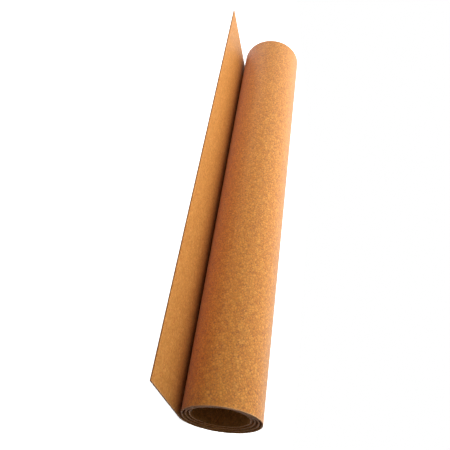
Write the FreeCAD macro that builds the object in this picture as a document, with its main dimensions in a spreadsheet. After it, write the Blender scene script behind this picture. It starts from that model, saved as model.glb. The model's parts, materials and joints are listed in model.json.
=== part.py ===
import FreeCAD, Part
import Sketcher
import math
import os

os.makedirs("parts", exist_ok=True)
doc = FreeCAD.newDocument("CorkRoll")

# Driving dimensions, millimetres and degrees
sheet = doc.addObject("Spreadsheet::Sheet", "Dimensions")
dimensions = {
    "roll_length": ("1219", "width of the sheet, along the roll"),
    "sheet_thickness": ("3.2", "thickness of the cork"),
    "outer_radius": ("93", "bore axis to the outside of the first turn"),
    "turn_gap": ("5", "air between two turns"),
    "turn_creep": ("1.9", "sideways creep of the sheet in one turn"),
    "inner_edge_angle": ("126", "last part turn, from the top to the inner edge"),
    "tail_length": ("211", "flat free end, from under the axis to its edge"),
}
row = 1
for alias, (value, note) in dimensions.items():
    sheet.set("A%d" % row, alias)
    sheet.set("B%d" % row, value)
    sheet.setAlias("B%d" % row, alias)
    sheet.set("C%d" % row, note)
    row += 1
doc.recompute()

# The sketches are drawn at the sheet's own values, then held by its formulas
size = {alias: float(sheet.get(alias)) for alias in dimensions}
whole_half_turns = 7
radius = size["outer_radius"]
thickness = size["sheet_thickness"]
pitch = thickness + size["turn_gap"]
tail_reach = size["tail_length"]
half_length = size["roll_length"] / 2
last_span = math.radians(size["inner_edge_angle"])
creep_slope = size["turn_creep"] / pitch

body = doc.addObject("PartDesign::Body", "CorkSheet")
body.Label = "cork_sheet"
PITCH = "(Dimensions.sheet_thickness + Dimensions.turn_gap)"
WHOLE_CREEP = "(Dimensions.turn_creep * (%g + Dimensions.inner_edge_angle / 360))" % (whole_half_turns / 2)


def origin_item(role):
    for feature in body.Origin.OriginFeatures:
        if feature.Role == role:
            return feature
    raise RuntimeError("no origin item " + role)


def new_sketch(name, plane):
    sketch = doc.addObject("Sketcher::SketchObject", name)
    body.addObject(sketch)
    sketch.AttachmentSupport = [(origin_item(plane), "")]
    sketch.MapMode = "FlatFace"
    return sketch


def add_line(sketch, x1, y1, x2, y2):
    return sketch.addGeometry(Part.LineSegment(
        FreeCAD.Vector(x1, y1, 0), FreeCAD.Vector(x2, y2, 0)))


def fix(sketch, *terms):
    return sketch.addConstraint(Sketcher.Constraint(*terms))


def dimension(sketch, name, formula, *terms):
    index = fix(sketch, *terms)
    sketch.renameConstraint(index, name)
    sketch.setExpression("Constraints." + name, formula)


# Section across the roll: a spiral of half turns about two centres on one upright line
section = new_sketch("WoundSection", "YZ_Plane")
Z = FreeCAD.Vector(0, 0, 1)
ORIGIN = (-1, 1)
UPRIGHT = -2


def half_turn(number, face_radius, span):
    """Back halves turn about the bore axis, front halves half a pitch above it."""
    front = number % 2
    centre = FreeCAD.Vector(0, pitch / 2 if front else 0, 0)
    start = math.pi / 2 if front else -math.pi / 2
    circle = Part.Circle(centre, Z, face_radius - number * pitch / 2)
    return section.addGeometry(Part.ArcOfCircle(circle, start, start + span))


def face_of_sheet(face_radius):
    arcs = [half_turn(number, face_radius, math.pi) for number in range(whole_half_turns)]
    arcs.append(half_turn(whole_half_turns, face_radius, last_span))
    for number, arc in enumerate(arcs):
        if number == 0:
            fix(section, "PointOnObject", arc, 1, UPRIGHT)
        else:
            fix(section, "Coincident", arcs[number - 1], 2, arc, 1)
        if number < whole_half_turns:
            fix(section, "PointOnObject", arc, 2, UPRIGHT)
    for arc in arcs[0::2]:
        fix(section, "Coincident", arc, 3, *ORIGIN)
    return arcs


outer_arcs = face_of_sheet(radius)
inner_arcs = face_of_sheet(radius - thickness)
dimension(section, "outer_radius", "Dimensions.outer_radius * 1mm", "Radius", outer_arcs[0], radius)
dimension(section, "inner_radius", "(Dimensions.outer_radius - Dimensions.sheet_thickness) * 1mm",
          "Radius", inner_arcs[0], radius - thickness)
fix(section, "PointOnObject", outer_arcs[1], 3, UPRIGHT)
dimension(section, "half_pitch", PITCH + " / 2 * 1mm",
          "DistanceY", *ORIGIN, outer_arcs[1], 3, pitch / 2)
for arc in outer_arcs[3::2] + inner_arcs[1::2]:
    fix(section, "Coincident", arc, 3, outer_arcs[1], 3)
for name, arc in (("outer_end", outer_arcs[-1]), ("inner_end", inner_arcs[-1])):
    dimension(section, name, "Dimensions.inner_edge_angle * 1deg",
              "Angle", arc, last_span)

heel = -math.sin(last_span) * radius / 2, math.cos(last_span) * radius / 2
inner_edge = add_line(section, *heel, heel[0] * 0.95, heel[1] * 0.95)
fix(section, "Coincident", inner_edge, 1, outer_arcs[-1], 2)
fix(section, "Coincident", inner_edge, 2, inner_arcs[-1], 2)

# Tail: level, tangent to the bottom of the first turn
underside = add_line(section, -tail_reach, -radius, 0, -radius)
tip = add_line(section, -tail_reach, -radius + thickness, -tail_reach, -radius)
upper_side = add_line(section, 0, -radius + thickness, -tail_reach, -radius + thickness)
fix(section, "Coincident", underside, 2, outer_arcs[0], 1)
fix(section, "Coincident", tip, 2, underside, 1)
fix(section, "Coincident", upper_side, 2, tip, 1)
fix(section, "Coincident", upper_side, 1, inner_arcs[0], 1)
fix(section, "Horizontal", underside)
fix(section, "Horizontal", upper_side)
fix(section, "Vertical", tip)
dimension(section, "tail_reach", "Dimensions.tail_length * 1mm",
          "DistanceX", underside, 1, underside, 2, tail_reach)

wound = doc.addObject("PartDesign::Pad", "Wound")
body.addObject(wound)
wound.Profile = section
wound.SideType = "Two sides"
wound.setExpression("Length", "Dimensions.roll_length / 2 * 1mm")
wound.setExpression("Length2", "(Dimensions.roll_length / 2 + " + WHOLE_CREEP + ") * 1mm")

# Ends: each turn inwards creeps a little further towards -X, hollow at one end, proud at the other
hollow = new_sketch("HollowEnd", "XZ_Plane")
rim, depth, clear = radius, radius * creep_slope, radius
cone = add_line(hollow, half_length - depth, 0, half_length, rim)
face = add_line(hollow, half_length, rim, half_length + clear, rim)
back = add_line(hollow, half_length + clear, rim, half_length + clear, 0)
axis = add_line(hollow, half_length + clear, 0, half_length - depth, 0)
for first, second in ((cone, face), (face, back), (back, axis), (axis, cone)):
    fix(hollow, "Coincident", first, 2, second, 1)
fix(hollow, "Horizontal", face)
fix(hollow, "Vertical", back)
fix(hollow, "PointOnObject", axis, 1, -1)
fix(hollow, "PointOnObject", axis, 2, -1)
dimension(hollow, "rim", "Dimensions.outer_radius * 1mm", "DistanceY", *ORIGIN, face, 1, rim)
dimension(hollow, "end", "Dimensions.roll_length / 2 * 1mm", "DistanceX", *ORIGIN, face, 1, half_length)
dimension(hollow, "depth", "Dimensions.outer_radius * Dimensions.turn_creep / " + PITCH + " * 1mm",
          "DistanceX", cone, 1, cone, 2, depth)
dimension(hollow, "clear", "Dimensions.outer_radius * 1mm", "DistanceX", face, 1, face, 2, clear)
hollow_cut = doc.addObject("PartDesign::Groove", "HollowCut")
body.addObject(hollow_cut)
hollow_cut.Profile = hollow
hollow_cut.ReferenceAxis = (origin_item("X_Axis"), [""])
hollow_cut.Angle = 360

proud = new_sketch("ProudEnd", "XZ_Plane")
far = half_length + depth
reach = radius + tail_reach
cone = add_line(proud, -far, 0, -half_length, rim)
face = add_line(proud, -half_length, rim, -half_length, reach)
outside = add_line(proud, -half_length, reach, -far, reach)
back = add_line(proud, -far, reach, -far, 0)
for first, second in ((cone, face), (face, outside), (outside, back), (back, cone)):
    fix(proud, "Coincident", first, 2, second, 1)
fix(proud, "Vertical", face)
fix(proud, "Horizontal", outside)
fix(proud, "Vertical", back)
fix(proud, "PointOnObject", cone, 1, -1)
dimension(proud, "rim", "Dimensions.outer_radius * 1mm", "DistanceY", *ORIGIN, face, 1, rim)
dimension(proud, "end", "Dimensions.roll_length / 2 * 1mm", "DistanceX", face, 1, *ORIGIN, half_length)
dimension(proud, "depth", "Dimensions.outer_radius * Dimensions.turn_creep / " + PITCH + " * 1mm",
          "DistanceX", cone, 1, cone, 2, depth)
dimension(proud, "reach", "(Dimensions.outer_radius + Dimensions.tail_length) * 1mm",
          "DistanceY", *ORIGIN, face, 2, reach)
proud_cut = doc.addObject("PartDesign::Groove", "ProudCut")
body.addObject(proud_cut)
proud_cut.Profile = proud
proud_cut.ReferenceAxis = (origin_item("X_Axis"), [""])
proud_cut.Angle = 360

# The tail lies on the ground and the whole is centred over the origin
body.setExpression(".Placement.Base.x", WHOLE_CREEP + " / 2 * 1mm")
body.setExpression(".Placement.Base.y", "(Dimensions.tail_length - Dimensions.outer_radius) / 2 * 1mm")
body.setExpression(".Placement.Base.z", "Dimensions.outer_radius * 1mm")

doc.recompute()
for item in doc.Objects:
    if "Invalid" in item.State or "Error" in item.State:
        raise RuntimeError("not built: " + item.Name)
if body.Shape.isNull() or not body.Shape.isValid():
    raise RuntimeError("no valid shape: " + body.Label)

body.Shape.exportStep(os.path.join("parts", body.Label + ".step"))
print(body.Label, len(body.Shape.Solids), "solid", round(body.Shape.Volume), "mm3")
print(body.Shape.optimalBoundingBox(False, False))
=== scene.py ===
# Cork underlayment roll: one sheet of pressed cork granules, wound up, with its free end lying flat
import bpy
import json
import math
import random
from mathutils import Matrix, Vector

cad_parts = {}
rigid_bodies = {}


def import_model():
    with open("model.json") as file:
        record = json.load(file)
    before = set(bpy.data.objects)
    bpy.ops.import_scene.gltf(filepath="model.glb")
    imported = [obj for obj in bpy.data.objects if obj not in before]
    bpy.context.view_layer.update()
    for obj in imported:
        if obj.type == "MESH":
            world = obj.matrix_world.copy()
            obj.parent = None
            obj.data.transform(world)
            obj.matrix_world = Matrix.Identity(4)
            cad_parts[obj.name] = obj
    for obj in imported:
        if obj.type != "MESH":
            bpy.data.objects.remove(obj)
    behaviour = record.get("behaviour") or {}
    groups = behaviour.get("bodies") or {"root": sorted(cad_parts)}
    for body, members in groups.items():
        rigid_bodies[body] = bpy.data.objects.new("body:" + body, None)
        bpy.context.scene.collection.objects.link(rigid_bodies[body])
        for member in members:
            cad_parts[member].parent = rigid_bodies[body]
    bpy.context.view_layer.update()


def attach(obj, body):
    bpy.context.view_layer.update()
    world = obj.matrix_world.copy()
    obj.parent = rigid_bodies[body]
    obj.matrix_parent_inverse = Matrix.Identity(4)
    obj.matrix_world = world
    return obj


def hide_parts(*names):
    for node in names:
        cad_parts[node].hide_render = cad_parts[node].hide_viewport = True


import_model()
print("frame loaded")


def toLinear(hexColour):  # sRGB hex to the linear colour that Blender wants
    parts = [int(hexColour[k:k + 2], 16) / 255 for k in (1, 3, 5)]
    return tuple(c / 12.92 if c <= 0.04045 else ((c + 0.055) / 1.055) ** 2.4 for c in parts) + (1.0,)


def emptyTree(owner):  # node tree of a new material or world, with nothing in it yet
    owner.use_nodes = True
    owner.node_tree.nodes.clear()
    return owner.node_tree


def addNode(tree, kind, settings=None, links=None):  # one node, its settings and what feeds it
    node = tree.nodes.new(kind)
    for name, value in (settings or {}).items():
        if isinstance(name, int) or name in node.inputs.keys():
            node.inputs[name].default_value = value
        else:
            setattr(node, name, value)
    for name, source in (links or {}).items():
        tree.links.new(source, node.inputs[name])
    return node


def deselectAll():
    for thing in bpy.data.objects:
        thing.select_set(False)


def pickEdges(thing, test):  # in object mode: select the edges whose two ends pass the test
    mesh = thing.data
    mesh.polygons.foreach_set("select", [False] * len(mesh.polygons))
    good = [test(v.co) for v in mesh.vertices]
    chosen = [good[e.vertices[0]] and good[e.vertices[1]] for e in mesh.edges]
    touched = [False] * len(mesh.vertices)
    for edge, taken in zip(mesh.edges, chosen):
        if taken:
            touched[edge.vertices[0]] = touched[edge.vertices[1]] = True
    mesh.vertices.foreach_set("select", touched)
    mesh.edges.foreach_set("select", chosen)


def applyModifier(thing, kind, **settings):
    deselectAll()
    thing.select_set(True)
    bpy.context.view_layer.objects.active = thing
    bpy.ops.object.modifier_add(type=kind)
    modifier = thing.modifiers[-1]
    for name, value in settings.items():
        setattr(modifier, name, value)
    bpy.ops.object.modifier_apply(modifier=modifier.name)


# Agglomerated cork: bark of the cork oak, ground to granules, pressed in blocks with a little
# binder and sliced. The eye gets a dry matt face, mottled granule by granule, with a dusty bloom.
corkFaces = {
    "granule": 0.0060,         # real ones are 1 to 3 mm, drawn coarser so that they show in the frame
    "crumb": 0.0030,           # the small stuff between them
    "patch": 0.11,             # slow drift of tone from one part of the sheet to the next
    "bends": 0.8,              # bends in an outline over one granule
    "bendReach": 0.9,          # how far a bend pushes the outline, in granules
    "crumbShare": 0.4,         # how much of a granule's tone is the crumb's
    "patchShare": 0.1,
    "seamWidth": 0.24,         # dark line of binder between granules, in granules
    "binder": "#8C441A",
    "bark": "#B87032",
    "paintedEndHighlight": "#F4C48C",  # painted highlight: paler along the ends, for the rims catching the light
    # where along the roll the painted highlight at the ends starts and where it is full
    "endHighlightFrom": 0.6085,
    "endHighlightTo": 0.6115,
    "relief": 0.0004,          # granules stand this proud of their seams
    "crumbRelief": 0.5,        # crumbs, as a part of that
    "shoulder": 0.2,           # rounding of a granule towards its seam, in granules
    "bumpStrength": 0.4,
    "roughness": 0.45,
    "ior": 1.45,
    "sheenRoughness": 0.5,
    "sheenTint": "#FFEEDD",
}
# the last number of each face is how much painted highlight it gets along the ends
outerFace = {
    "name": "corkOuterFace",
    "shades": ("#CA7C30", "#E08F3A", "#EB9D40", "#F2A648", "#F8B052"),  # dark granules to light ones
    "seams": 0.46, "barkShare": 0.08, "sheen": 0.55, "shine": 0.3, "paintedHighlight": 0.5,
}
innerFace = {
    "name": "corkInnerFace",
    "shades": ("#B67A36", "#C88A40", "#D29248", "#DA9A50", "#E4A45A"),
    "seams": 0.32, "barkShare": 0.06, "sheen": 0.05, "shine": 0.3, "paintedHighlight": 0.2,
}
cutEdge = {
    "name": "corkCutEdge",
    "shades": ("#AC6C34", "#C47E3E", "#D08A48", "#D89452", "#E0A05E"),
    "seams": 0.5, "barkShare": 0.08, "sheen": 0.0, "shine": 0.06, "paintedHighlight": 0.0,
}


def corkMaterial(face):
    c = corkFaces
    material = bpy.data.materials.new(face["name"])
    tree = emptyTree(material)
    place = addNode(tree, "ShaderNodeTexCoord").outputs["Object"]

    # granules with bent outlines: a little noise pushes the place that is looked up
    bend = addNode(tree, "ShaderNodeTexNoise", {"Scale": c["bends"] / c["granule"], "Detail": 1.0},
                   {"Vector": place})
    push = addNode(tree, "ShaderNodeVectorMath",
                   {"operation": "MULTIPLY_ADD", 1: [c["granule"] * c["bendReach"]] * 3},
                   {0: bend.outputs["Color"], 2: place})
    bent = push.outputs[0]
    granule = addNode(tree, "ShaderNodeTexVoronoi", {"Scale": 1 / c["granule"]}, {"Vector": bent})
    border = addNode(tree, "ShaderNodeTexVoronoi",
                     {"feature": "DISTANCE_TO_EDGE", "Scale": 1 / c["granule"]}, {"Vector": bent})
    crumb = addNode(tree, "ShaderNodeTexVoronoi", {"Scale": 1 / c["crumb"]}, {"Vector": bent})
    patch = addNode(tree, "ShaderNodeTexNoise", {"Scale": 1 / c["patch"], "Detail": 2.0},
                    {"Vector": place})
    pick = addNode(tree, "ShaderNodeSeparateColor", {}, {"Color": granule.outputs["Color"]})
    pickCrumb = addNode(tree, "ShaderNodeSeparateColor", {}, {"Color": crumb.outputs["Color"]})

    # tone of each granule: its own draw, a bit of the crumb's and of the patch's
    tone = addNode(tree, "ShaderNodeMix", {"Factor": c["crumbShare"]},
                   {2: pick.outputs["Red"], 3: pickCrumb.outputs["Red"]})
    drift = addNode(tree, "ShaderNodeMix", {"Factor": c["patchShare"]},
                    {2: tone.outputs[0], 3: patch.outputs["Fac"]})
    ramp = addNode(tree, "ShaderNodeValToRGB", {}, {"Fac": drift.outputs[0]})
    for k, shade in enumerate(face["shades"]):
        at = k / (len(face["shades"]) - 1)
        stop = ramp.color_ramp.elements[k] if k < 2 else ramp.color_ramp.elements.new(at)
        stop.position = at
        stop.color = toLinear(shade)
    seam = addNode(tree, "ShaderNodeMapRange",
                   {"From Max": c["seamWidth"], "To Min": face["seams"], "To Max": 0.0},
                   {"Value": border.outputs["Distance"]})
    bound = addNode(tree, "ShaderNodeMix", {"data_type": "RGBA", 7: toLinear(c["binder"])},
                    {"Factor": seam.outputs[0], 6: ramp.outputs["Color"]})
    isBark = addNode(tree, "ShaderNodeMath", {"operation": "LESS_THAN", 1: face["barkShare"]},
                     {0: pickCrumb.outputs["Blue"]})
    barked = addNode(tree, "ShaderNodeMix", {"data_type": "RGBA", 7: toLinear(c["bark"])},
                     {"Factor": isBark.outputs[0], 6: bound.outputs[2]})

    # painted highlight: paler along both ends, for the rims catching the light
    axes = addNode(tree, "ShaderNodeSeparateXYZ", {}, {"Vector": place})
    alongRoll = addNode(tree, "ShaderNodeMath", {"operation": "ABSOLUTE"}, {0: axes.outputs["X"]})
    paintedHighlightMask = addNode(tree, "ShaderNodeMapRange",
                  {"From Min": c["endHighlightFrom"], "From Max": c["endHighlightTo"], "To Max": face["paintedHighlight"]},
                  {"Value": alongRoll.outputs[0]})
    cork = addNode(tree, "ShaderNodeMix", {"data_type": "RGBA", 7: toLinear(c["paintedEndHighlight"])},
                   {"Factor": paintedHighlightMask.outputs[0], 6: barked.outputs[2]})

    height = addNode(tree, "ShaderNodeMapRange", {"From Max": c["shoulder"]},
                     {"Value": border.outputs["Distance"]})
    bumpy = addNode(tree, "ShaderNodeMath", {"operation": "MULTIPLY_ADD", 1: c["crumbRelief"]},
                    {0: pickCrumb.outputs["Green"], 2: height.outputs[0]})
    bump = addNode(tree, "ShaderNodeBump", {"Strength": c["bumpStrength"], "Distance": c["relief"]},
                   {"Height": bumpy.outputs[0]})
    shader = addNode(tree, "ShaderNodeBsdfPrincipled",
                     {"Roughness": c["roughness"], "IOR": c["ior"], "Specular IOR Level": face["shine"],
                      "Sheen Weight": face["sheen"], "Sheen Roughness": c["sheenRoughness"],
                      "Sheen Tint": toLinear(c["sheenTint"])},
                     {"Base Color": cork.outputs[2], "Normal": bump.outputs[0]})
    addNode(tree, "ShaderNodeOutputMaterial", {}, {"Surface": shader.outputs[0]})
    return material


# the sheet, in metres
corkSheet = {
    "width": 1.219,          # along the roll
    "thickness": 0.0032,
    "outerRadius": 0.093,
    "pitch": 0.0082,         # the sheet and the air to the next turn
    "creep": 0.0019,         # sideways in one turn
    "halfTurns": 7,
    "lastPart": 126,         # degrees, from the top to the inner edge
    "tailLength": 0.211,
    "hollowEnd": 0.6131575,  # where the rim of the hollow end is
    "axisY": 0.059,
    "stepsPerHalf": 84,      # about 3.5 mm a step on the outer turn
    "tailRows": 60,
    "endLoops": (0.0015, 0.004, 0.010, 0.025, 0.06),
    "middleLoops": 9,
    "tipCuts": 30,
    "tipMargin": 0.05,       # the tail's edge gets no cuts this near to its corners
    "roundedEdge": 0.00045,
    "roundedFrom": 50,       # degrees, edges sharper than this are rounded
    "smoothBelow": 35,       # degrees
    "crumble": 0.0006,       # how deep granules have dropped out of the cut edges
    "seed": 5,
    "closeBy": 1e-5,         # points this near to a line count as on it
    "mergeWithin": 1e-6,
}


def buildSheet():
    s = corkSheet
    near = s["closeBy"]
    right = s["hollowEnd"]
    left = right - s["width"]
    tipY = s["axisY"] - s["tailLength"]

    # the tail: a plane, cut closely near the ends and across
    deselectAll()
    bpy.ops.mesh.primitive_plane_add(size=1, location=(left + s["width"] / 2, tipY + s["tailLength"] / 2, 0))
    sheet = bpy.context.object
    sheet.name = "corkSheet"
    sheet.data.name = "corkSheet"
    sheet.scale = (s["width"], s["tailLength"], 1)
    bpy.ops.object.transform_apply(location=True, rotation=False, scale=True)
    bpy.ops.object.mode_set(mode="EDIT")
    cutsX = [left + d for d in s["endLoops"]] + [right - d for d in s["endLoops"]]
    cutsX += [left + s["width"] * k / (s["middleLoops"] + 1) for k in range(1, s["middleLoops"] + 1)]
    cutsY = [tipY + s["tailLength"] * k / s["tailRows"] for k in range(1, s["tailRows"])]
    cuts = [((x, 0, 0), (1, 0, 0)) for x in cutsX] + [((0, y, 0), (0, 1, 0)) for y in cutsY]
    for place, across in cuts:
        bpy.ops.mesh.select_all(action="SELECT")
        bpy.ops.mesh.bisect(plane_co=place, plane_no=across)
    bpy.ops.mesh.select_mode(type="EDGE")
    bpy.ops.object.mode_set(mode="OBJECT")

    # the roll: one spin for each half turn, about a low and a high centre by turns
    lowCentre = Vector((0, s["axisY"], s["outerRadius"]))
    highCentre = lowCentre + Vector((0, 0, s["pitch"] / 2))
    turned = [0.0] * len(sheet.data.vertices)  # how far round each point lies, in turns
    edgeZ = 0.0
    for half in range(s["halfTurns"] + 1):
        pickEdges(sheet, lambda co: abs(co.y - s["axisY"]) < near and abs(co.z - edgeZ) < near)
        centre = highCentre if half % 2 else lowCentre
        span = math.radians(s["lastPart"]) if half == s["halfTurns"] else math.pi
        steps = round(s["stepsPerHalf"] * span / math.pi)
        bpy.ops.object.mode_set(mode="EDIT")
        bpy.ops.mesh.spin(steps=steps, angle=span, center=centre, axis=(-1, 0, 0), dupli=False,
                          use_auto_merge=False)
        bpy.ops.object.mode_set(mode="OBJECT")
        for v in sheet.data.vertices[len(turned):]:
            arm = v.co - centre
            angle = math.atan2(-arm.y, arm.z) if half % 2 else math.atan2(arm.y, -arm.z)
            turned.append((half + abs(angle) / math.pi) / 2)
        edgeZ = 2 * centre.z - edgeZ
    print("wound", len(sheet.data.vertices), "points")

    # granules dropped out of the cut ends, and the creep
    dice = random.Random(s["seed"])
    for v, turn in zip(sheet.data.vertices, turned):
        chip = s["crumble"] * dice.random() ** 2
        if v.co.x > right - near:
            v.co.x -= chip
        if v.co.x < left + near:
            v.co.x += chip
        v.co.x = max(v.co.x - s["creep"] * turn, -right)

    # and out of the tail's edge
    margin = s["tipMargin"]
    pickEdges(sheet, lambda co: co.y < tipY + near and left + margin < co.x < right - margin)
    bpy.ops.object.mode_set(mode="EDIT")
    bpy.ops.mesh.subdivide(number_cuts=s["tipCuts"], ngon=True)
    bpy.ops.object.mode_set(mode="OBJECT")
    for v in sheet.data.vertices:
        if v.co.y < tipY + near:
            v.co.y += s["crumble"] * dice.random() ** 2

    bpy.ops.object.mode_set(mode="EDIT")
    bpy.ops.mesh.select_all(action="SELECT")
    bpy.ops.mesh.remove_doubles(threshold=s["mergeWithin"])
    bpy.ops.mesh.normals_make_consistent(inside=False)
    bpy.ops.object.mode_set(mode="OBJECT")
    if sheet.data.polygons[0].normal.z < 0:  # the thickness grows up and inwards
        sheet.data.flip_normals()
    for face in (innerFace, outerFace, cutEdge):
        sheet.data.materials.append(corkMaterial(face))
    applyModifier(sheet, "SOLIDIFY", thickness=s["thickness"], offset=1, use_even_offset=True,
                  material_offset=1, material_offset_rim=2)
    applyModifier(sheet, "BEVEL", width=s["roundedEdge"], segments=2, limit_method="ANGLE",
                  angle_limit=math.radians(s["roundedFrom"]), harden_normals=False)
    return sheet


sheet = buildSheet()
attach(sheet, "root")
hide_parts("cork_sheet")
sheet.data.calc_loop_triangles()
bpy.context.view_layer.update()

deselectAll()
sheet.select_set(True)
bpy.context.view_layer.objects.active = sheet
bpy.ops.object.shade_smooth_by_angle(angle=math.radians(corkSheet["smoothBelow"]))
print("sheet smoothed")

# studio: white floor and surround, one broad soft light from above
studio = {
    "cameraPlace": (0.93964, -1.07159, 0.36458),
    "cameraTarget": (0.0957, 0.05582, 0.03175),
    "roll": 90,              # degrees, the photograph stands on its side
    "lens": 42.616,          # mm
    "sensor": 36,            # mm
    "seesUpTo": 200,
    "lampPlace": (-1.3, -0.45, 1.1),  # over the far end, so the near end's faces stay dark
    "lampSize": (4.0, 4.7),
    "lampPower": 116,
    "skyStrength": 0.06,
    "floorSize": 5,
    "floorDrop": 0.0005,     # a hair under the sheet, so that the two don't share a plane
    "floorGlow": 0.9,
    "floorShade": "#E7E7E7",   # what carries the shadow
    "floorReturn": "#696969",  # darker for the light that it sends back to the cork
}


def whatIsSeen(tree):  # 1 for the camera and for reflections, 0 for all other light
    path = addNode(tree, "ShaderNodeLightPath")
    seen = addNode(tree, "ShaderNodeMath", {"operation": "MAXIMUM"},
                   {0: path.outputs["Is Camera Ray"], 1: path.outputs["Is Glossy Ray"]})
    return seen.outputs[0]


def buildStudio():
    s = studio
    camera = bpy.data.cameras.new("photoCamera")
    cameraThing = bpy.data.objects.new("photoCamera", camera)
    bpy.context.scene.collection.objects.link(cameraThing)
    camera.lens = s["lens"]
    camera.sensor_width = s["sensor"]
    camera.clip_end = s["seesUpTo"]
    place = Vector(s["cameraPlace"])
    level = (Vector(s["cameraTarget"]) - place).to_track_quat("-Z", "Y").to_matrix().to_4x4()
    onItsSide = Matrix.Rotation(math.radians(s["roll"]), 4, "Z")
    cameraThing.matrix_world = Matrix.Translation(place) @ level @ onItsSide
    bpy.context.scene.camera = cameraThing

    light = bpy.data.lights.new("lampLight", "AREA")
    light.shape = "RECTANGLE"
    light.size, light.size_y = s["lampSize"]
    light.energy = s["lampPower"]
    lightThing = bpy.data.objects.new("lampLight", light)
    bpy.context.scene.collection.objects.link(lightThing)
    lightThing.location = s["lampPlace"]
    lightThing.visible_camera = False
    lightThing.visible_glossy = False

    world = bpy.data.worlds.new("studioWorld")
    bpy.context.scene.world = world
    tree = emptyTree(world)
    strength = addNode(tree, "ShaderNodeMapRange", {"To Min": s["skyStrength"], "To Max": 1.0},
                       {"Value": whatIsSeen(tree)})
    glow = addNode(tree, "ShaderNodeBackground", {"Color": toLinear("#FFFFFF")},
                   {"Strength": strength.outputs[0]})
    addNode(tree, "ShaderNodeOutputWorld", {}, {"Surface": glow.outputs[0]})

    deselectAll()
    bpy.ops.mesh.primitive_plane_add(size=s["floorSize"], location=(0, 0, -s["floorDrop"]))
    floor = bpy.context.object
    floor.name = "floor"
    material = bpy.data.materials.new("whiteFloor")
    tree = emptyTree(material)
    glow = addNode(tree, "ShaderNodeEmission", {"Color": toLinear("#FFFFFF"), "Strength": s["floorGlow"]})
    lit = addNode(tree, "ShaderNodeBsdfDiffuse", {"Color": toLinear(s["floorShade"])})
    dim = addNode(tree, "ShaderNodeBsdfDiffuse", {"Color": toLinear(s["floorReturn"])})
    white = addNode(tree, "ShaderNodeAddShader", {}, {0: glow.outputs[0], 1: lit.outputs[0]})
    both = addNode(tree, "ShaderNodeMixShader", {},
                   {0: whatIsSeen(tree), 1: dim.outputs[0], 2: white.outputs[0]})
    addNode(tree, "ShaderNodeOutputMaterial", {}, {"Surface": both.outputs[0]})
    floor.data.materials.append(material)


buildStudio()
bpy.context.scene.view_settings.view_transform = "Standard"
print("studio built")
